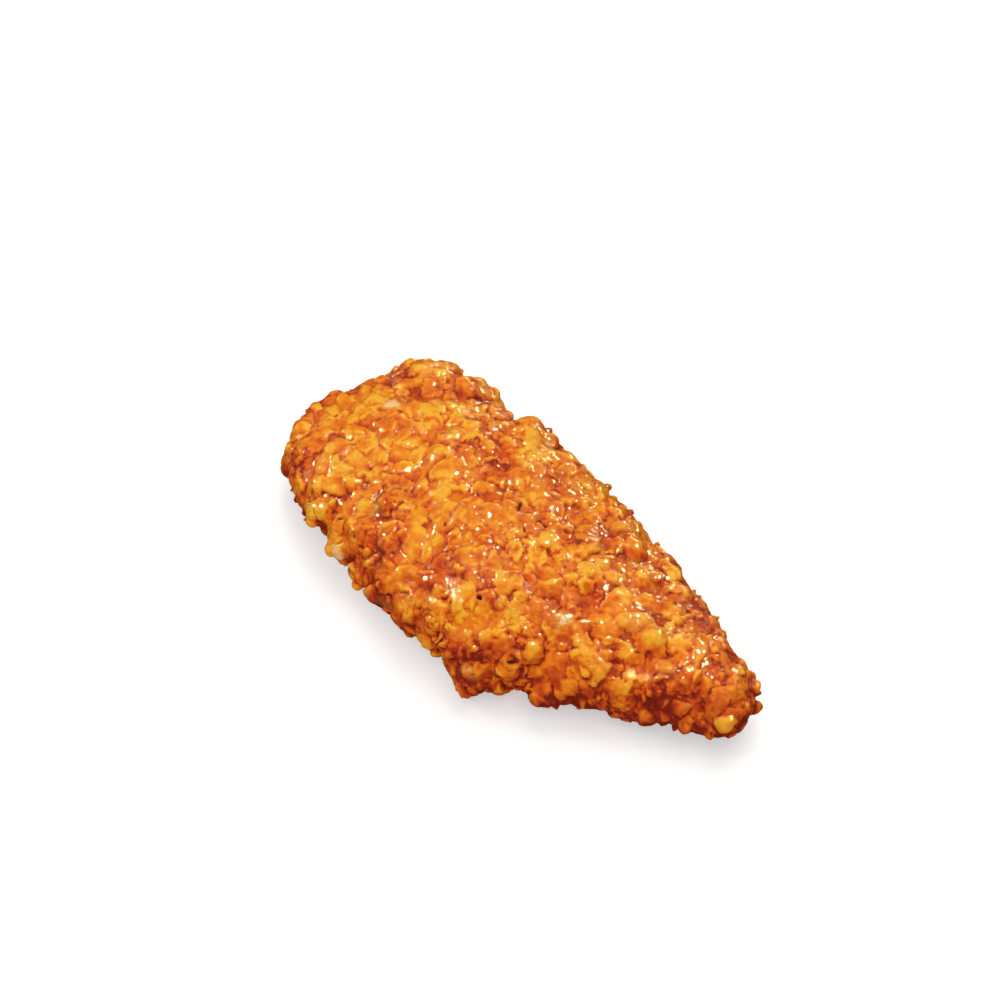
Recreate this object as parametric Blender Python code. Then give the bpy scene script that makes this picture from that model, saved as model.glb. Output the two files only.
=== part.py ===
"""A breaded chicken tender: one strip of meat in a craggy fried crust, lying on its flatter side.

The strip runs along X, with its broad end at -X and its tapered tip at +X. +Z is up, and z = 0 is the
surface that it rests on. It is one solid: the coated meat with the crumbs of its crust fused on.
"""

import math
import random

import bmesh
import bpy
from mathutils import Matrix, Vector, noise
from mathutils.bvhtree import BVHTree

# Driving dimensions, in metres: the whole tender, over its crust
LENGTH = 0.1160
WIDTH = 0.0555
THICKNESS = 0.0210

# The coated meat, as stations from the broad end to the tip. Each gives its place along the strip, and
# its front edge, back edge, underside and top, as shares of LENGTH, WIDTH, WIDTH, THICKNESS, THICKNESS
STATIONS = (
    (-0.485, -0.140, -0.020, 0.34, 0.50),
    (-0.472, -0.220, 0.110, 0.23, 0.63),
    (-0.430, -0.315, 0.280, 0.15, 0.77),
    (-0.340, -0.385, 0.395, 0.09, 0.87),
    (-0.215, -0.425, 0.430, 0.06, 0.92),
    (-0.085, -0.450, 0.455, 0.05, 0.93),
    (0.035, -0.465, 0.415, 0.05, 0.90),
    (0.155, -0.370, 0.370, 0.05, 0.85),
    (0.275, -0.205, 0.315, 0.06, 0.77),
    (0.380, -0.080, 0.260, 0.08, 0.68),
    (0.445, 0.000, 0.210, 0.13, 0.60),
    (0.476, 0.050, 0.165, 0.21, 0.51),
    (0.485, 0.085, 0.130, 0.28, 0.44),
)
RINGS_BETWEEN = 5  # rings from one station to the next
RING_POINTS = 56
EDGE_HEIGHT = 0.44  # of the thickness, where a cross-section is widest
TOP_SQUARENESS = 2.25  # exponent of the cross-section above its widest line
UNDER_SQUARENESS = 3.2
LUMP_SIZE = 0.014  # wavelength of the meat's gentle lumps
LUMP_HEIGHT = 0.0016

# Lobes of meat that stand out under the crust: place, height and radius, in metres
LOBES = (
    (-0.0445, 0.0150, 0.0110, 0.0078),
    (-0.0370, 0.0190, 0.0110, 0.0066),
    (-0.0475, -0.0110, 0.0090, 0.0064),
    (0.0095, -0.0215, 0.0070, 0.0060),
    (0.0235, -0.0135, 0.0065, 0.0056),
    (0.0500, 0.0050, 0.0085, 0.0058),
)
LOBE_FLATNESS = 0.85

# Where the crust was pressed flat by the tender's own weight: a low lobe that the resting surface cuts
RESTING_LOBE_RADIUS = 0.0080
RESTING_LOBE_DEPTH = 0.0007

# Crags that show singly: place on the strip, the two half-lengths that lie on the surface, how far it
# stands out and how far it is turned about the surface's normal, in metres and degrees
CRAGS = (
    (0.0312, 0.0018, 0.0042, 0.0023, 0.0015, 35),
    (0.0211, 0.0056, 0.0033, 0.0024, 0.0016, 20),
    (-0.0252, 0.0071, 0.0026, 0.0022, 0.0014, 0),
    (-0.0422, 0.0045, 0.0042, 0.0026, 0.0012, 50),
    (-0.0250, 0.0124, 0.0024, 0.0020, 0.0014, 0),
    (0.0135, 0.0171, 0.0036, 0.0022, 0.0015, 30),
    (0.0120, 0.0087, 0.0046, 0.0020, 0.0010, 40),
    (-0.0086, 0.0224, 0.0034, 0.0026, 0.0020, 20),
    (0.0439, 0.0067, 0.0036, 0.0016, 0.0016, 60),
    (0.0531, 0.0032, 0.0032, 0.0030, 0.0018, 0),
    (0.0416, -0.0004, 0.0028, 0.0024, 0.0015, 0),
    (0.0331, -0.0094, 0.0028, 0.0022, 0.0016, 10),
    (0.0213, -0.0087, 0.0032, 0.0026, 0.0009, 70),
    (-0.0064, -0.0037, 0.0040, 0.0030, 0.0008, 15),
    (-0.0335, -0.0080, 0.0038, 0.0028, 0.0009, 80),
)
CRAG_SUNK = 0.35  # share of a crag's standing height that is sunk in the coat

# Crumbs scattered over the whole crust, the largest first: how many tries, smallest and largest
# half-length, and the share of a crumb's height that stands out
CRUMB_CLASSES = (
    (300, 0.0024, 0.0036, 0.55),
    (1800, 0.0016, 0.0024, 0.72),
    (900, 0.0012, 0.0016, 0.80),
)
CRUMB_SPACING = 1.15  # least distance between two crumbs, as a share of their mean size
CRUMB_FLATNESS = (0.50, 0.95)  # a crumb's height against its length
CRUMB_NARROWNESS = (0.60, 1.0)  # a crumb's width against its length
CRUMB_TILT = math.radians(25)
FACE_FLATTENING = 0.72  # crumbs on the broad faces stand out by this share of those at the rim
SEED = 12

FUSE_GRAIN = 0.00060  # size of the finest form that fusing keeps
SOFTENING = 0.30
TRIANGLES = 10900
GOLDEN_BROWN = (0.67, 0.20, 0.032, 1.0)


def clear_scene():
    for obj in list(bpy.data.objects):
        bpy.data.objects.remove(obj)


def crust_material():
    material = bpy.data.materials.new("fried_crust")
    material.use_nodes = True
    shader = material.node_tree.nodes["Principled BSDF"]
    shader.inputs["Base Color"].default_value = GOLDEN_BROWN
    shader.inputs["Roughness"].default_value = 0.42
    shader.inputs["Metallic"].default_value = 0.0
    return material


def spline_point(rows, place):
    """The row of numbers at a place along a smooth curve through all the rows."""
    first = min(int(place), len(rows) - 2)
    t = place - first
    near = [rows[max(0, min(len(rows) - 1, first + step))] for step in (-1, 0, 1, 2)]
    return [
        b + 0.5 * t * (c - a + t * (2 * a - 5 * b + 4 * c - d + t * (3 * (b - c) + d - a)))
        for a, b, c, d in zip(*near)
    ]


def section_point(station, angle):
    """A point of the meat's cross-section: a rounded form that is flatter below than above."""
    along, front, back, under, top = station
    middle = (front + back) / 2 * WIDTH
    half_width = (back - front) / 2 * WIDTH
    edge = under + (top - under) * EDGE_HEIGHT
    cosine, sine = math.cos(angle), math.sin(angle)
    squareness = TOP_SQUARENESS if sine > 0 else UNDER_SQUARENESS
    height = (top - edge if sine > 0 else edge - under) * THICKNESS
    across = math.copysign(abs(cosine) ** (2 / squareness), cosine)
    upward = math.copysign(abs(sine) ** (2 / squareness), sine)
    return Vector((along * LENGTH, middle + half_width * across, edge * THICKNESS + height * upward))


def add_ring(mesh, station):
    """One cross-section as a ring of edges."""
    made = bmesh.ops.create_circle(mesh, segments=RING_POINTS, radius=1)
    for vert in made["verts"]:
        vert.co = section_point(station, math.atan2(vert.co.y, vert.co.x))
    return list({edge for vert in made["verts"] for edge in vert.link_edges})


def add_lobe(mesh, place, radius):
    shape = Matrix.Diagonal((radius, radius, radius * LOBE_FLATNESS, 1))
    bmesh.ops.create_icosphere(mesh, subdivisions=3, radius=1, matrix=Matrix.Translation(place) @ shape)


def coated_meat():
    """The strip without its crumbs: rings through the stations, bridged and capped, with its lobes."""
    mesh = bmesh.new()
    count = (len(STATIONS) - 1) * RINGS_BETWEEN
    rings = [add_ring(mesh, spline_point(STATIONS, i / RINGS_BETWEEN)) for i in range(count + 1)]
    for ring, following in zip(rings, rings[1:]):
        bmesh.ops.bridge_loops(mesh, edges=ring + following)
    for ring in (rings[0], rings[-1]):
        cap = bmesh.ops.contextual_create(mesh, geom=ring)["faces"]
        bmesh.ops.poke(mesh, faces=cap)
    bmesh.ops.recalc_face_normals(mesh, faces=mesh.faces)
    mesh.normal_update()
    moves = [vert.normal * LUMP_HEIGHT * noise.noise(vert.co / LUMP_SIZE) for vert in mesh.verts]
    for vert, move in zip(mesh.verts, moves):
        vert.co += move
    for x, y, z, radius in LOBES:
        add_lobe(mesh, (x, y, z), radius)
    low_lobe = (0, 0, RESTING_LOBE_RADIUS * LOBE_FLATNESS - RESTING_LOBE_DEPTH)
    add_lobe(mesh, low_lobe, RESTING_LOBE_RADIUS)
    mesh.normal_update()
    return mesh


def seat(point, normal, lengths, turn, tilt=(0.0, 0.0)):
    """The matrix that lays a form of these half-lengths on the surface, turned and tilted there."""
    stand = normal.to_track_quat("Z", "X").to_matrix().to_4x4()
    lean = Matrix.Rotation(tilt[0], 4, "X") @ Matrix.Rotation(tilt[1], 4, "Y")
    turned = Matrix.Translation(point) @ stand @ Matrix.Rotation(turn, 4, "Z")
    return turned @ lean @ Matrix.Diagonal((*lengths, 1))


def round_pattern(subdivisions):
    """A ball as a mesh, from which crumbs and crags are copied."""
    ball = bmesh.new()
    bmesh.ops.create_icosphere(ball, subdivisions=subdivisions, radius=1)
    pattern = bpy.data.meshes.new("pattern")
    ball.to_mesh(pattern)
    return pattern


def add_copy(mesh, pattern, matrix):
    moved = pattern.copy()
    moved.transform(matrix)
    mesh.from_mesh(moved)
    bpy.data.meshes.remove(moved)


def add_crags(crust, coat):
    """The crags that show singly, each where the coat's top is at its place."""
    tree = BVHTree.FromBMesh(coat)
    pattern = round_pattern(3)
    for x, y, length, width, proud, turn in CRAGS:
        above = Vector((x, y, 2 * THICKNESS))
        point, normal, _, _ = tree.ray_cast(above, Vector((0, 0, -1)))
        sunk = point - normal * proud * CRAG_SUNK
        lengths = (length, width, proud * (1 + CRAG_SUNK))
        add_copy(crust, pattern, seat(sunk, normal, lengths, math.radians(turn)))


def face_share(normal):
    """How far a crumb stands out: fully at the rim, less on the broad faces."""
    return 1 - (1 - FACE_FLATTENING) * normal.z**2


def spots(draw, coat, tries):
    """Random points of the coat, evenly spread, each with its normal."""
    faces = list(coat.faces)
    areas = [face.calc_area() for face in faces]
    for face in draw.choices(faces, weights=areas, k=tries):
        shares = [draw.random() for _ in face.verts]
        point = sum((vert.co * share for vert, share in zip(face.verts, shares)), Vector())
        yield point / sum(shares), face.normal


def scatter_crumbs(crust, coat):
    """Crumbs over the whole coat, from large to small, each clear of the middle of its neighbours."""
    draw = random.Random(SEED)
    pattern = round_pattern(2)
    cell = 2 * CRUMB_SPACING * CRUMB_CLASSES[0][2]
    laid = {}
    for tries, smallest, largest, proud in CRUMB_CLASSES:
        for point, normal in spots(draw, coat, tries):
            length = draw.uniform(smallest, largest)
            width = length * draw.uniform(*CRUMB_NARROWNESS)
            height = length * draw.uniform(*CRUMB_FLATNESS)
            turn = draw.uniform(0, math.tau)
            tilt = (draw.gauss(0, CRUMB_TILT), draw.gauss(0, CRUMB_TILT))
            home = tuple(round(value / cell) for value in point)
            nearby = [
                crumb
                for i in (-1, 0, 1)
                for j in (-1, 0, 1)
                for k in (-1, 0, 1)
                for crumb in laid.get((home[0] + i, home[1] + j, home[2] + k), ())
            ]
            if any((point - other).length < CRUMB_SPACING * (length + size) / 2 for other, size in nearby):
                continue
            laid.setdefault(home, []).append((point, length))
            lift = height * (2 * proud * face_share(normal) - 1)
            lengths = (length, width, height)
            add_copy(crust, pattern, seat(point + normal * lift, normal, lengths, turn, tilt))


def evaluated_mesh(obj):
    graph = bpy.context.evaluated_depsgraph_get()
    return bpy.data.meshes.new_from_object(obj.evaluated_get(graph))


def fuse(obj):
    """Makes one skin of the coat and its crumbs, with no more faces than its relief needs."""
    fused = obj.modifiers.new("fuse", "REMESH")
    fused.mode = "VOXEL"
    fused.voxel_size = FUSE_GRAIN
    soften = obj.modifiers.new("soften", "SMOOTH")
    soften.factor = SOFTENING
    full = evaluated_mesh(obj)
    full.calc_loop_triangles()
    fewer = obj.modifiers.new("fewer_faces", "DECIMATE")
    fewer.ratio = TRIANGLES / len(full.loop_triangles)
    obj.data = evaluated_mesh(obj)
    obj.modifiers.clear()


def drop_small_pieces(mesh):
    """Keeps the largest closed surface, so that no loose scrap or sealed hollow is left."""
    unseen = set(mesh.verts)
    pieces = []
    while unseen:
        waiting = [unseen.pop()]
        piece = []
        while waiting:
            vert = waiting.pop()
            piece.append(vert)
            joined = {edge.other_vert(vert) for edge in vert.link_edges} & unseen
            unseen -= joined
            waiting.extend(joined)
        pieces.append(piece)
    pieces.sort(key=len)
    for piece in pieces[:-1]:
        bmesh.ops.delete(mesh, geom=piece, context="VERTS")


def flatten_foot(mesh):
    """Cuts off what reaches below the resting surface, and closes the cuts with flat faces."""
    geometry = list(mesh.verts) + list(mesh.edges) + list(mesh.faces)
    cut = bmesh.ops.bisect_plane(
        mesh, geom=geometry, dist=1e-6, plane_co=(0, 0, 0), plane_no=(0, 0, -1), clear_outer=True
    )
    for vert in mesh.verts:
        vert.co.z = max(vert.co.z, 0)
    rims = [item for item in cut["geom_cut"] if isinstance(item, bmesh.types.BMEdge)]
    bmesh.ops.holes_fill(mesh, edges=rims, sides=0)
    bmesh.ops.triangulate(mesh, faces=mesh.faces)
    bmesh.ops.recalc_face_normals(mesh, faces=mesh.faces)


def bring_to_size(mesh):
    """Centres the tender over the origin, and brings it to its driving dimensions."""
    lows = [min(vert.co[axis] for vert in mesh.verts) for axis in range(3)]
    highs = [max(vert.co[axis] for vert in mesh.verts) for axis in range(3)]
    size = [high - low for low, high in zip(lows, highs)]
    middle = Vector(((lows[0] + highs[0]) / 2, (lows[1] + highs[1]) / 2, 0))
    bmesh.ops.translate(mesh, vec=-middle, verts=mesh.verts)
    shares = [wanted / made for wanted, made in zip((LENGTH, WIDTH, THICKNESS), size)]
    bmesh.ops.scale(mesh, vec=shares, verts=mesh.verts)


def build_tender():
    coat = coated_meat()
    crust = coat.copy()
    add_crags(crust, coat)
    scatter_crumbs(crust, coat)
    skin = bpy.data.meshes.new("tender")
    crust.to_mesh(skin)
    tender = bpy.data.objects.new("tender", skin)
    bpy.context.collection.objects.link(tender)
    fuse(tender)
    finished = bmesh.new()
    finished.from_mesh(tender.data)
    flatten_foot(finished)
    drop_small_pieces(finished)
    bring_to_size(finished)
    finished.to_mesh(tender.data)
    tender.data.materials.clear()
    tender.data.materials.append(crust_material())
    tender.data.shade_smooth()


clear_scene()
build_tender()
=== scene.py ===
"""One breaded and fried chicken tender, lying on a pale floor.

Its broad end is at -X and its tip at +X. All sizes are in metres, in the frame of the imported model.
"""

import math
import random

import bmesh
import bpy
import numpy as np
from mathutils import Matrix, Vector, noise
from mathutils.kdtree import KDTree


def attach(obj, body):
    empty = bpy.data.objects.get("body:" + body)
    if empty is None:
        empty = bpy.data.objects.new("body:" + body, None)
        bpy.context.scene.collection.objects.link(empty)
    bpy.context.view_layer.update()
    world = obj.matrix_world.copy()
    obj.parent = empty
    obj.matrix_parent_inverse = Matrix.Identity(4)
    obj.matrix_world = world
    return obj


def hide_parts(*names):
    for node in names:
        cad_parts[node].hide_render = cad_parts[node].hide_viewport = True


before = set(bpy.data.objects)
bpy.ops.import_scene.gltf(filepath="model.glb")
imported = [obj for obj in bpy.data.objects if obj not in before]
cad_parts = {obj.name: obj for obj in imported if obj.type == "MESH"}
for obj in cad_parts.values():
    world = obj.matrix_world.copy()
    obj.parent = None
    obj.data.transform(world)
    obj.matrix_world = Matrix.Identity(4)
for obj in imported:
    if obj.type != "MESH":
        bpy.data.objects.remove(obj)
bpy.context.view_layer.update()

# The strip of chicken in its batter. It is an inner fillet, floured and dipped, and the frame's solid
# gives its form. Its facets are rounded off, and it gets an even skin that is fine enough to carry crumbs.
BATTER_GRAIN = 0.0005
BATTER_ROUNDING = 60  # passes of smoothing
SKIN_GRAIN = 0.00023
SKIN_ROUNDING = 2
MERGING_DISTANCE = 1e-6


def new_object(name, data):
    obj = bpy.data.objects.new(name, data)
    bpy.context.scene.collection.objects.link(obj)
    return obj


def apply_modifiers(obj):
    graph = bpy.context.evaluated_depsgraph_get()
    obj.data = bpy.data.meshes.new_from_object(obj.evaluated_get(graph))
    obj.modifiers.clear()


def fuse(obj, grain, passes):
    """Makes one closed skin of everything in the object's mesh, then softens it."""
    skin = obj.modifiers.new("skin", "REMESH")
    skin.mode = "VOXEL"
    skin.voxel_size = grain
    soften = obj.modifiers.new("soften", "SMOOTH")
    soften.factor = 0.5
    soften.iterations = passes
    apply_modifiers(obj)


def arrays(mesh):
    """The mesh's points, their normals and its triangles."""
    points = np.empty(len(mesh.vertices) * 3, np.float32)
    mesh.vertices.foreach_get("co", points)
    normals = np.empty(len(mesh.vertices) * 3, np.float32)
    mesh.vertex_normals.foreach_get("vector", normals)
    mesh.calc_loop_triangles()
    triangles = np.empty(len(mesh.loop_triangles) * 3, np.int32)
    mesh.loop_triangles.foreach_get("vertices", triangles)
    points, normals = (values.reshape(-1, 3).astype(float) for values in (points, normals))
    return points, normals, triangles.reshape(-1, 3)


def set_points(mesh, points):
    mesh.vertices.foreach_set("co", np.ascontiguousarray(points, np.float32).ravel())
    mesh.update()


solid = bmesh.new()
solid.from_mesh(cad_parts["tender"].data)
bmesh.ops.remove_doubles(solid, verts=solid.verts, dist=MERGING_DISTANCE)
crust_mesh = bpy.data.meshes.new("crust")
solid.to_mesh(crust_mesh)
crust = new_object("crust", crust_mesh)
fuse(crust, BATTER_GRAIN, BATTER_ROUNDING)
fuse(crust, SKIN_GRAIN, SKIN_ROUNDING)
points, normals, triangles = arrays(crust.data)

# The crumbs of the breading, sunk in the batter until a millimetre or so stands out: flat flakes of
# crust up to nine millimetres long, rounder nuggets, and the fine crumbs between them. They are raised
# from the skin one after another, and their rims are nicked by bending the space that they lie in.
CRUMB_SEED = 7
RIM_NICKS = ((0.0022, 0.0007), (0.0009, 0.0003))  # wavelength, depth
NICKS_START = Vector((1.3, 0, 0))
NICKS_APART = Vector((3.7, 5.1, 7.9))  # so that the three axes don't bend alike
RIM_LOBES = ((2, 0.10), (3, 0.10), (5, 0.06), (9, 0.03))  # how many round the rim, share of its width
RIM_REACH = 1.35  # the farthest that the nicks and lobes take the rim, in half-lengths
SUNK_SHARE = 0.6  # how much of the height of the crumbs under it a crumb keeps
SHOULDER = 0.6  # a lower power makes the crumb's edge steeper
BARE_PATCH_SIZE = 0.011  # wavelength of the patches where few crumbs stuck
BARE_PATCH_SHARE = 0.9
FLAT_COVER = 0.25  # of the crumbs that stick where the crust is level
STEEP_COVER = 0.8  # what is added to it where the crust stands upright
LEAST_COVER = 0.1
RIM_FACING = (-0.8, 0.45)  # the z of the normal where the rim's own crumbs sit
LEAST_LEAN = 0.6  # of the lean that a kind may have


def search_tree(points):
    tree = KDTree(len(points))
    for index, point in enumerate(points):
        tree.insert(point, index)
    tree.balance()
    return tree


def noise_at(points, size, apart=Vector()):
    return np.array([noise.noise(Vector(place) / size + apart) for place in points])


draw = random.Random(CRUMB_SEED)
heights = np.zeros(len(points))
tones = np.full(len(points), 0.5)
tree = search_tree(points)
bent = points.copy()
for size, depth in RIM_NICKS:
    for axis in range(3):
        bent[:, axis] += depth * noise_at(points, size, NICKS_APART * axis + NICKS_START)


def spots(points, triangles, count):
    """Places spread evenly over the batter, each with its normal."""
    rng = np.random.default_rng(draw.randrange(10**6))
    a, b, c = (points[triangles[:, i]] for i in range(3))
    across = np.cross(b - a, c - a)
    area = np.linalg.norm(across, axis=1)
    chosen = rng.choice(len(area), count, p=area / area.sum())
    return list(zip(map(Vector, a[chosen]), map(Vector, across[chosen] / area[chosen, None])))


class Spacing:
    """Keeps what is laid on the crust clear of the middle of its neighbours."""

    def __init__(self, cell):
        self.cell = cell
        self.laid = {}

    def takes(self, place, size, share):
        home = [int(value // self.cell) for value in place]
        near = [range(value - 1, value + 2) for value in home]
        for other, its_size in (
            neighbour
            for i in near[0]
            for j in near[1]
            for k in near[2]
            for neighbour in self.laid.get((i, j, k), ())
        ):
            if (place - other).length < share * (size + its_size) / 2:
                return False
        self.laid.setdefault(tuple(home), []).append((place, size))
        return True


def crumb_cover(place, normal):
    """From 0 where the batter is nearly bare to 1 where crumbs lie side by side, as they do at the rim."""
    cover = FLAT_COVER + STEEP_COVER * (1 - normal.z)
    cover += BARE_PATCH_SHARE * noise.noise(place / BARE_PATCH_SIZE)
    return min(1, max(LEAST_COVER, cover))


def raise_crumb(place, normal, along, length, width, stands, flatness, lean, lip):
    """Raises the skin over a crumb with a ragged oval outline, or sinks it in a pit if stands is below 0.

    It leans, so one side stands out more, with a lip at its end. Returns the points that it covers.
    """
    found = tree.find_range(place, length * RIM_REACH)
    near = np.array([index for _, index, _ in found])
    along = (along - normal * along.dot(normal)).normalized()
    offset = bent[near] - np.array(place)
    u = offset @ np.array(along) / length
    v = offset @ np.array(normal.cross(along)) / width
    angle = np.arctan2(v, u)
    ragged = 1
    for lobes, depth in RIM_LOBES:
        ragged = ragged + depth * np.sin(lobes * angle + draw.uniform(0, math.tau))
    distance = np.hypot(u, v) / ragged
    inside = distance < 1
    near, u, v, distance = near[inside], u[inside], v[inside], distance[inside]
    if not len(near):
        return near
    toward = draw.uniform(0, math.tau)
    side = u * math.cos(toward) + v * math.sin(toward)
    profile = (1 - distance**flatness) ** SHOULDER * (1 + lean * side)
    profile += lip * np.maximum(0, side) * distance**4
    raised = SUNK_SHARE * heights[near].mean() + stands * profile
    if stands > 0:
        changed = raised > heights[near]
    else:
        changed = raised < heights[near]
    near = near[changed]
    heights[near] = raised[changed]
    tones[near] = draw.random()
    return near


def any_way():
    return Vector((draw.gauss(0, 1), draw.gauss(0, 1), draw.gauss(0, 1)))


CRUMB_KINDS = (  # tries, half-length, width's share, stands out, flatness, lean, lip, spacing, where
    (480, (0.0018, 0.0032), (0.7, 1.0), (0.00040, 0.00130), 2.2, 0.3, 0.0, 1.4, "patches"),
    (560, (0.0026, 0.0046), (0.45, 0.8), (0.00026, 0.00060), 3.5, 1.0, 0.4, 1.3, "all over"),
    (800, (0.0014, 0.0026), (0.5, 0.9), (0.00022, 0.00050), 3.5, 1.0, 0.5, 1.3, "all over"),
    (700, (0.0010, 0.0018), (0.6, 1.0), (0.00030, 0.00085), 2.2, 0.3, 0.0, 1.5, "patches"),
    (900, (0.0008, 0.0017), (0.5, 0.9), (0.00055, 0.00150), 2.2, 0.6, 0.0, 1.7, "rim"),
    (2600, (0.0006, 0.0010), (0.6, 1.0), (0.00016, 0.00038), 2.2, 0.3, 0.0, 1.4, "patches"),
    (18000, (0.00030, 0.00055), (0.6, 1.0), (0.00013, 0.00026), 2.2, 0.2, 0.0, 1.1, "patches"),
)
for tries, lengths, narrowness, stands, flatness, lean, lip, share, where in CRUMB_KINDS:
    spacing = Spacing(share * lengths[1])
    for place, normal in spots(points, triangles, tries):
        length = draw.uniform(*lengths)
        if where == "patches" and draw.random() > crumb_cover(place, normal):
            continue
        if where == "rim" and not RIM_FACING[0] < normal.z < RIM_FACING[1]:
            continue
        if not spacing.takes(place, length, share):
            continue
        width = length * draw.uniform(*narrowness)
        height = draw.uniform(*stands)
        sizes = length, width, height
        raise_crumb(place, normal, any_way(), *sizes, flatness, lean * draw.uniform(LEAST_LEAN, 1), lip)

# The crumbs and spots that catch the eye: pale grains of uncoloured batter, thin white films of fat, a
# white
# Y whose white is a painted highlight, and a crack and a few pits coloured dark as painted shade. More
# pale grains, white films and small dark specks sunk in the crust are strewn over the whole crust.
NAMED_SPOTS = (  # x and y in millimetres, direction in degrees, half-length, half-width, stands out, mark
    (31.1, 1.8, 55, 3.9, 2.1, 1.10, 0.32),  # the oval grain near the tip
    (21.1, 5.6, 30, 1.9, 1.5, 0.60, 0.20),
    (-25.2, 7.1, 0, 1.4, 1.3, 0.55, 0.25),
    (-25.0, 12.4, 80, 1.8, 1.4, 0.60, 0.30),
    (-42.2, 4.5, 40, 3.0, 1.5, 0.35, 0.85),  # a pale flake at the broad end
    (-25.9, -26.4, 110, 2.0, 1.4, 0.60, 0.70),
    (-8.6, 22.4, 20, 2.8, 1.5, 0.80, 0.10),  # a curl at the back edge
    (13.5, 17.1, 45, 3.4, 1.8, 0.60, 0.30),
    (12.0, 8.7, 35, 2.6, 1.7, 0.45, 0.15),
    (43.9, 6.7, 120, 3.2, 1.6, 0.80, 0.10),  # the fold behind the tip
    (53.1, 3.2, 60, 2.6, 2.0, 0.60, 0.05),
    (33.1, -9.4, 90, 2.2, 1.7, 0.80, 0.15),
    (41.6, -0.4, 30, 2.0, 1.6, 0.60, 0.25),
    (9.3, -25.9, 100, 2.4, 1.9, 0.50, 0.05),
    (21.3, -8.7, 70, 2.8, 1.7, 0.05, 0.95),  # a white film low on the face
    # a white Y on thin ridges; its white is a painted highlight
    (-9.8, -7.3, 110, 1.7, 0.6, 0.20, 1.00),
    (-9.0, -5.6, 60, 1.5, 0.5, 0.20, 1.00),
    (-6.4, -3.7, 100, 1.3, 0.5, 0.20, 1.00),
    (-24.0, -16.0, 100, 2.6, 0.7, 0.10, 0.80),
    # the crack and the two pits after it are coloured dark, as painted shade in them
    (-3.0, 3.7, 125, 1.7, 0.36, -0.60, -0.90),  # the crack in the middle
    (1.8, 0.6, 150, 0.9, 0.25, -0.30, -0.50),
    (6.9, -16.4, 0, 0.6, 0.5, -0.80, -1.00),
    (19.3, -19.4, 60, 0.9, 0.4, -0.60, -0.80),
)
STRAY_SPOTS = (  # how many, half-length and how far it stands out in millimetres, mark
    (34, 1.2, 0.50, 0.35),
    (16, 1.8, 0.05, 0.80),
    (22, 0.4, -0.30, -0.90),
)
MILLIMETRE = 0.001
SPOT_FLATNESS = 3
SPOT_LEAN = 0.3
SPOT_FACING = 0.2  # the least z of the normal where a named spot sits
STRAY_WIDTH = 0.6  # of the length
STRAY_SIZES = (0.7, 1.4)
STRAY_MARKS = (0.5, 1)

bent = points  # the rims of these have no nicks
marks = np.zeros(len(points))
top = np.nonzero(normals[:, 2] > SPOT_FACING)[0]
for x, y, direction, length, width, stands, mark in NAMED_SPOTS:
    flat_distance = np.hypot(points[top, 0] - x * MILLIMETRE, points[top, 1] - y * MILLIMETRE)
    index = top[flat_distance.argmin()]
    way = Vector((math.cos(math.radians(direction)), math.sin(math.radians(direction)), 0))
    sizes = length * MILLIMETRE, width * MILLIMETRE, stands * MILLIMETRE
    spot = Vector(points[index]), Vector(normals[index])
    marks[raise_crumb(*spot, way, *sizes, SPOT_FLATNESS, SPOT_LEAN, 0)] = mark
for count, length, stands, mark in STRAY_SPOTS:
    for place, normal in spots(points, triangles, count):
        size = length * MILLIMETRE * draw.uniform(*STRAY_SIZES)
        sizes = size, STRAY_WIDTH * size, stands * MILLIMETRE
        covered = raise_crumb(place, normal, any_way(), *sizes, SPOT_FLATNESS, SPOT_LEAN, 0)
        marks[covered] = mark * draw.uniform(*STRAY_MARKS)

# The skin of the crust: the relief of the crumbs, wrinkled and creased where the batter bubbled and
# shrank in the oil. The flat underside needs fewer triangles than the rest, so most are taken there.
BATTER_SWELLING = 0.0001
WRINKLES = (  # wavelength, depth
    (0.0080, 0.00060),
    (0.0035, 0.00016),
    (0.0014, 0.00008),
    (0.0007, 0.00005),
)
CREASES = ((0.0045, 0.00022), (0.0018, 0.00012))  # the same, with sharp crests
PALE_BLUR = 10  # passes of smoothing
PIT_SHADE_AND_SPECK_BLUR = 2
CRUST_TRIANGLES = 195000
FOOT_HEIGHT = 0.0003
DETAIL_KEPT = 0.8
DETAIL_FACTOR = 3


def edge_pairs(mesh):
    edges = np.empty(len(mesh.edges) * 2, np.int32)
    mesh.edges.foreach_get("vertices", edges)
    return edges.reshape(-1, 2)


def smoothed(values, edges, passes):
    """The values (a row for each point) after passes of taking the mean of the neighbours' values."""
    count = np.bincount(edges.ravel(), minlength=len(values))
    for _ in range(passes):
        values = np.stack(
            [
                np.bincount(edges[:, 0], column[edges[:, 1]], len(values))
                + np.bincount(edges[:, 1], column[edges[:, 0]], len(values))
                for column in values.T
            ],
            axis=1,
        ) / count[:, None]
    return values


for size, depth in WRINKLES:
    heights += depth * noise_at(points, size)
for size, depth in CREASES:
    heights += depth * (0.5 - 2 * np.abs(noise_at(points, size)))
moved = points + normals * (heights + BATTER_SWELLING)[:, None]
moved[:, 2] = np.maximum(moved[:, 2], 0)
set_points(crust.data, moved)
normals = arrays(crust.data)[1]
edges = edge_pairs(crust.data)
pale = smoothed(np.maximum(marks, 0)[:, None], edges, PALE_BLUR)
# The dark marks: painted shade in the crack and pits, and small dark specks.
pit_shade_and_specks = smoothed(np.minimum(marks, 0)[:, None], edges, PIT_SHADE_AND_SPECK_BLUR)

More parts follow.
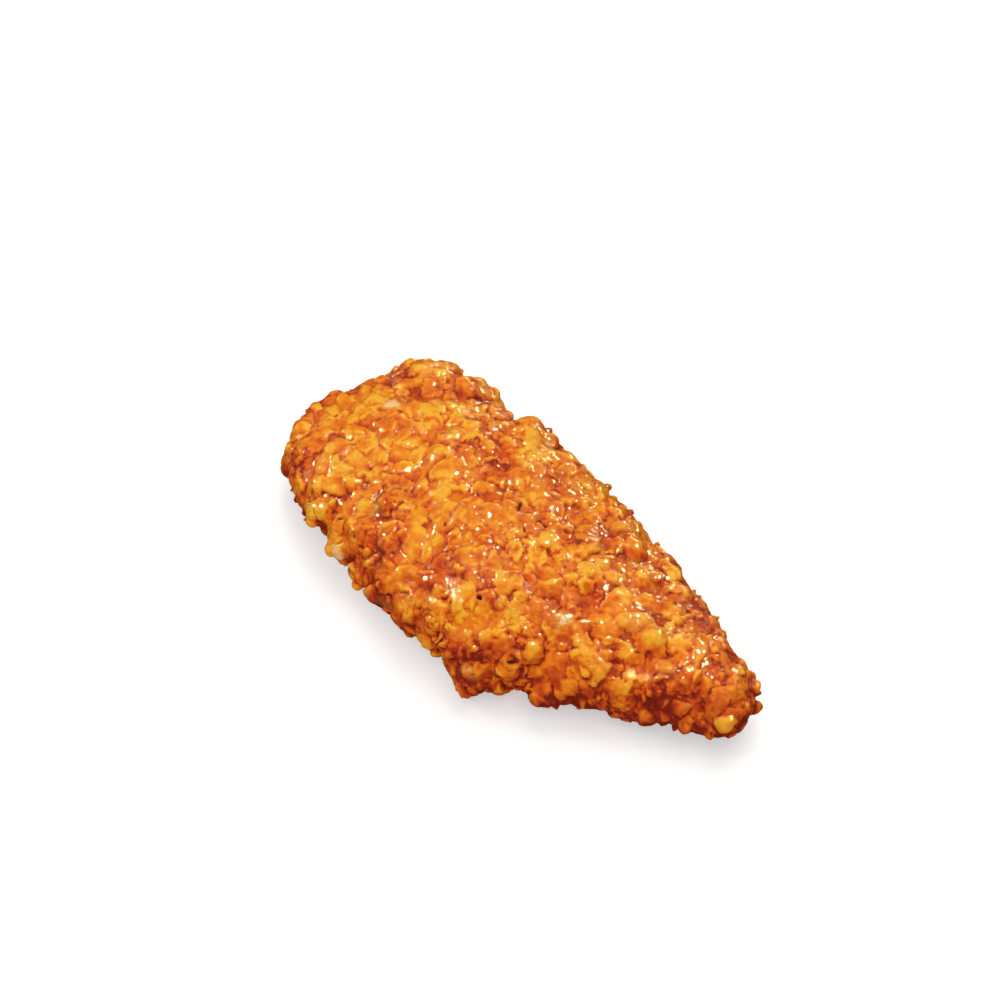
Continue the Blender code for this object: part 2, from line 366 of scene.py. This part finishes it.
shown = crust.vertex_groups.new(name="shown")
for index in np.nonzero(moved[:, 2] > FOOT_HEIGHT)[0].tolist():
    shown.add([index], DETAIL_KEPT, "REPLACE")
thin = crust.modifiers.new("thin", "DECIMATE")
thin.vertex_group = "shown"
thin.invert_vertex_group = True
thin.vertex_group_factor = DETAIL_FACTOR
thin.ratio = min(1, CRUST_TRIANGLES / len(triangles))
apply_modifiers(crust)
crust.data.shade_smooth()
kept = arrays(crust.data)[0]
kept[:, 2] = np.maximum(kept[:, 2], 0)
set_points(crust.data, kept)

# The fried colour, with painted light and shade in it. Crumbs that stand proud are painted lighter, as
# painted light, and hollows and the low sides are painted darker, as painted shade; the tip browns to red.
# So each point of the skin notes how far it stands out from a fine crumb's width round it and from a broad
# valley's, how far it faces upward, its crumb's tone, and whether it is a pale or a dark spot.
FINE_PASSES = 6
FINE_UNIT = 0.0001
FINE_LIMITS = (-2.5, 1.2)
BROAD_PASSES = 40
BROAD_UNIT = 0.0005
BROAD_LIMITS = (-1.5, 1.0)
UPWARD_PASSES = 30

fine = smoothed(moved, edges, FINE_PASSES)
broad = smoothed(fine, edges, BROAD_PASSES)
notes = {
    "fine_height": np.clip(((moved - fine) * normals).sum(1) / FINE_UNIT, *FINE_LIMITS),
    "broad_height": np.clip(((moved - broad) * normals).sum(1) / BROAD_UNIT, *BROAD_LIMITS),
    "upward": smoothed(normals, edges, UPWARD_PASSES)[:, 2],
    "tone": tones,
    "mark": (pale + pit_shade_and_specks)[:, 0],
}
tree = search_tree(moved)
source = [tree.find(point)[1] for point in kept]
for name, values in notes.items():
    attribute = crust.data.attributes.new(name, "FLOAT", "POINT")
    attribute.data.foreach_set("value", values[source].astype(np.float32))


def add_node(tree, kind, **settings):
    node = tree.nodes.new(kind)
    for name, value in settings.items():
        setattr(node, name, value)
    return node


def set_sockets(node, **values):
    """Sets the node's input sockets. A socket's name is written with _ for its spaces."""
    for name, value in values.items():
        node.inputs[name.replace("_", " ")].default_value = value


def ramp(tree, stops, value):
    """A colour ramp with these (position, colour) stops, fed by value."""
    node = tree.nodes.new("ShaderNodeValToRGB")
    elements = node.color_ramp.elements
    while len(elements) < len(stops):
        elements.new(0.5)
    for element, (position, colour) in zip(elements, stops):
        element.position = position
        element.color = (*colour, 1)
    tree.links.new(value, node.inputs["Fac"])
    return node.outputs["Color"]


def math_node(tree, operation, *values):
    node = add_node(tree, "ShaderNodeMath", operation=operation)
    for socket, value in zip(node.inputs, values):
        if isinstance(value, (int, float)):
            socket.default_value = value
        else:
            tree.links.new(value, socket)
    return node.outputs[0]


def noise_texture(tree, place, **values):
    node = tree.nodes.new("ShaderNodeTexNoise")
    set_sockets(node, **values)
    tree.links.new(place, node.inputs["Vector"])
    return node.outputs["Fac"]


def cell_texture(tree, place, scale):
    """The distance to the middle of the nearest cell."""
    node = add_node(tree, "ShaderNodeTexVoronoi", feature="F1")
    set_sockets(node, Scale=scale)
    tree.links.new(place, node.inputs["Vector"])
    return node.outputs["Distance"]


def fade(tree, value, start, end, interpolation="SMOOTHSTEP"):
    """Fades from one (value, result) pair to the other."""
    node = add_node(tree, "ShaderNodeMapRange", interpolation_type=interpolation)
    set_sockets(node, From_Min=start[0], To_Min=start[1], From_Max=end[0], To_Max=end[1])
    tree.links.new(value, node.inputs["Value"])
    return node.outputs["Result"]


CRUST_BROWNING_AND_SHADE = (  # from painted shade in the darkest hollow to painted light on the lightest crumb
    (0.00, (0.29, 0.024, 0.009)),
    (0.25, (0.58, 0.062, 0.011)),
    (0.50, (0.76, 0.145, 0.012)),
    (0.75, (0.89, 0.272, 0.015)),
    (1.00, (0.98, 0.450, 0.034)),
)
# the white end is also the painted highlight of the white Y
PALE_TINTS = ((0.50, (0.96, 0.44, 0.055)), (1.00, (0.94, 0.62, 0.28)))
# dark marks: painted shade in the crack and pits, and dark specks sunk in the crust
PIT_SHADE_AND_SPECK_TINTS = ((0.0, (0.30, 0.05, 0.012)), (1.0, (0.07, 0.016, 0.006)))
PALE_STRENGTH = 1.3
PIT_SHADE_AND_SPECK_STRENGTH = -1
MARK_MOTTLING = (4.0, -0.9)  # the mottle's share in a pale or dark spot, and what is added to it

SHADE_AND_BROWNING_START = -0.78
# the fine and broad heights paint proud crumbs lighter, as painted light, and hollows darker, as painted
# shade
FINE_SHARE = 0.17
BROAD_SHARE = 0.28
TONE_SHARE = 0.15
MOTTLE_SHARE = 0.70
PATCH_SHARE = 1.9
# painted shade: darker where the skin faces down or sideways, and low down near the floor
UPWARD_SHARE = 0.40
UPWARD_START = -0.36
LOW_SHADE_FADE = ((0.0, -0.25), (0.009, 0.0))  # height, change in painted shade
TIP_FADE = ((0.020, 0.0), (0.055, -0.15))  # distance along the strip, change in browning

GRAIN_SCALE = 1500
DUST_SCALE = 3400
DUST_SHARE = 0.4
GRAIN_PATCH_FADE = ((0.40, 0.15), (0.60, 1.0))  # noise, share of the grain


def crust_material():
    material = bpy.data.materials.new("fried_crust")
    material.use_nodes = True
    tree = material.node_tree
    shader = tree.nodes["Principled BSDF"]
    place = add_node(tree, "ShaderNodeTexCoord").outputs["Object"]
    split = add_node(tree, "ShaderNodeSeparateXYZ")
    tree.links.new(place, split.inputs[0])
    noted = {
        name: add_node(tree, "ShaderNodeAttribute", attribute_name=name).outputs["Fac"]
        for name in ("fine_height", "broad_height", "tone", "upward", "mark")
    }
    mottle = noise_texture(tree, place, Scale=700, Detail=6, Roughness=0.75)
    patch = noise_texture(tree, place, Scale=120, Detail=3)

    level = SHADE_AND_BROWNING_START
    # Painted light on proud crumbs and painted shade in hollows, added to the crumbs' own tones and
    # mottling.
    for value, share in (
        (noted["fine_height"], FINE_SHARE),
        (noted["broad_height"], BROAD_SHARE),
        (noted["tone"], TONE_SHARE),
        (mottle, MOTTLE_SHARE),
        (patch, PATCH_SHARE),
    ):
        level = math_node(tree, "MULTIPLY_ADD", value, share, level)
    # Painted shade low down and where the skin faces down; the tip browns.
    for change in (
        fade(tree, split.outputs["Z"], *LOW_SHADE_FADE),
        math_node(tree, "MULTIPLY_ADD", noted["upward"], UPWARD_SHARE, UPWARD_START),
        fade(tree, split.outputs["X"], *TIP_FADE),
    ):
        level = math_node(tree, "ADD", level, change)
    colour = ramp(tree, CRUST_BROWNING_AND_SHADE, level)

    # Pale marks, among them the painted highlight of the white Y, and dark marks of painted shade and
    # specks.
    mottling = math_node(tree, "MULTIPLY_ADD", mottle, *MARK_MOTTLING)
    mark = math_node(tree, "MULTIPLY", noted["mark"], mottling)
    for strength, tints in ((PALE_STRENGTH, PALE_TINTS), (PIT_SHADE_AND_SPECK_STRENGTH, PIT_SHADE_AND_SPECK_TINTS)):
        share = math_node(tree, "MULTIPLY", mark, strength)
        share.node.use_clamp = True
        mix = add_node(tree, "ShaderNodeMix", data_type="RGBA")
        tree.links.new(share, mix.inputs["Factor"])
        tree.links.new(colour, mix.inputs["A"])
        tree.links.new(ramp(tree, tints, share), mix.inputs["B"])
        colour = mix.outputs["Result"]
    tree.links.new(colour, shader.inputs["Base Color"])
    set_sockets(
        shader,
        Roughness=0.35,
        Specular_IOR_Level=0.05,
        Subsurface_Weight=0.6,
        Subsurface_Radius=(1.0, 0.35, 0.10),
        Subsurface_Scale=0.0009,
        Coat_Weight=0.60,
        Coat_Roughness=0.05,
    )

    # The finest grain is too small for the mesh, so it is a bump under the oily film.
    clusters = noise_texture(tree, place, Scale=260, Detail=1)
    grain_here = fade(tree, clusters, *GRAIN_PATCH_FADE, "LINEAR")
    cells = cell_texture(tree, place, DUST_SCALE), cell_texture(tree, place, GRAIN_SCALE)
    domes = math_node(tree, "MULTIPLY_ADD", cells[0], DUST_SHARE, cells[1])
    domes = math_node(tree, "MULTIPLY", domes, -1.0)
    domes = math_node(tree, "MULTIPLY", domes, grain_here)
    bump = add_node(tree, "ShaderNodeBump")
    set_sockets(bump, Strength=1.0, Distance=0.00025)
    tree.links.new(domes, bump.inputs["Height"])
    tree.links.new(bump.outputs["Normal"], shader.inputs["Normal"])
    return material


crust.data.materials.append(crust_material())
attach(crust, "root")
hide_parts("tender")

# The white floor of a studio table, just under the tender. It glows a little, as paper lit from below
# does, and throws no light back on the crust.
FLOOR_SIZE = 4.0
FLOOR_DROP = 0.0001
FLOOR_WHITE = (0.75, 0.75, 0.75, 1)
FLOOR_GLOW = 0.40

floor_shape = bmesh.new()
bmesh.ops.create_grid(floor_shape, x_segments=1, y_segments=1, size=FLOOR_SIZE / 2)
bmesh.ops.translate(floor_shape, vec=(0, 0, -FLOOR_DROP), verts=floor_shape.verts)
floor_mesh = bpy.data.meshes.new("floor")
floor_shape.to_mesh(floor_mesh)
floor = new_object("floor", floor_mesh)
white = bpy.data.materials.new("white_floor")
white.use_nodes = True
set_sockets(
    white.node_tree.nodes["Principled BSDF"],
    Base_Color=FLOOR_WHITE,
    Roughness=0.9,
    Emission_Color=(1, 1, 1, 1),
    Emission_Strength=FLOOR_GLOW,
)
floor.data.materials.append(white)
floor.visible_glossy = False
floor.visible_diffuse = False

# Studio light. Soft boxes and a white room light the tender, and small bare lamps make the glints. The
# soft light is kept out of reflections, so it leaves no milky film on the oily crust.
ROOM_LIGHT = 0.35
GLINT_COLOUR = (1.0, 0.80, 0.36)
CAMERA_AZIMUTH = math.radians(46.5)

world = bpy.data.worlds.new("studio")
bpy.context.scene.world = world
world.use_nodes = True
set_sockets(world.node_tree.nodes["Background"], Color=(1, 1, 1, 1), Strength=ROOM_LIGHT)
world.cycles_visibility.glossy = False


def lamp(name, azimuth, elevation, distance, size, power, glints):
    """A lamp that shines at the tender, for glints or for soft light. Its azimuth is from the camera's."""
    angle = CAMERA_AZIMUTH + math.radians(azimuth)
    rise = math.radians(elevation)
    back = Vector((math.sin(angle) * math.cos(rise), -math.cos(angle) * math.cos(rise), math.sin(rise)))
    light = bpy.data.lights.new(name, "AREA")
    light.shape = "RECTANGLE"
    light.size, light.size_y = size
    light.energy = power
    if glints:
        light.color = GLINT_COLOUR
    lamp_object = new_object(name, light)
    lamp_object.location = back * distance
    lamp_object.rotation_euler = back.to_track_quat("Z", "Y").to_euler()
    lamp_object.visible_glossy = glints
    lamp_object.visible_diffuse = not glints


lamp("key", 165, 55, 1.0, (0.8, 0.8), 5.0, False)
lamp("top", 10, 75, 0.9, (0.6, 0.6), 1.3, False)
lamp("left", -100, 40, 0.9, (0.3, 0.3), 1.1, False)
lamp("front", -10, 20, 0.9, (0.5, 0.5), 2.4, False)
lamp("back_strip", 155, 11, 0.8, (0.3, 0.03), 2.4, True)
lamp("glint_right", 120, 40, 0.8, (0.04, 0.04), 10.5, True)
lamp("glint_left", -115, 28, 0.8, (0.04, 0.04), 11.0, True)
lamp("glint_top", 175, 78, 0.8, (0.035, 0.035), 10.0, True)

# The camera. It looks from the photograph's direction relative to the tender, which lies flat here, so
# it stands somewhat higher above the floor.
CAMERA_ELEVATION = math.radians(50)
CAMERA_DISTANCE = 0.49416
CAMERA_AIM = Vector((-0.01898, 0.01371, 0))
LENS_MM = 85

camera = new_object("camera", bpy.data.cameras.new("camera"))
camera.data.lens = LENS_MM
camera_back = Vector(
    (
        math.sin(CAMERA_AZIMUTH) * math.cos(CAMERA_ELEVATION),
        -math.cos(CAMERA_AZIMUTH) * math.cos(CAMERA_ELEVATION),
        math.sin(CAMERA_ELEVATION),
    )
)
camera.location = CAMERA_AIM + camera_back * CAMERA_DISTANCE
camera.rotation_euler = camera_back.to_track_quat("Z", "Y").to_euler()
camera.data.clip_start = 0.01
bpy.context.scene.camera = camera
bpy.context.scene.view_settings.view_transform = "Standard"
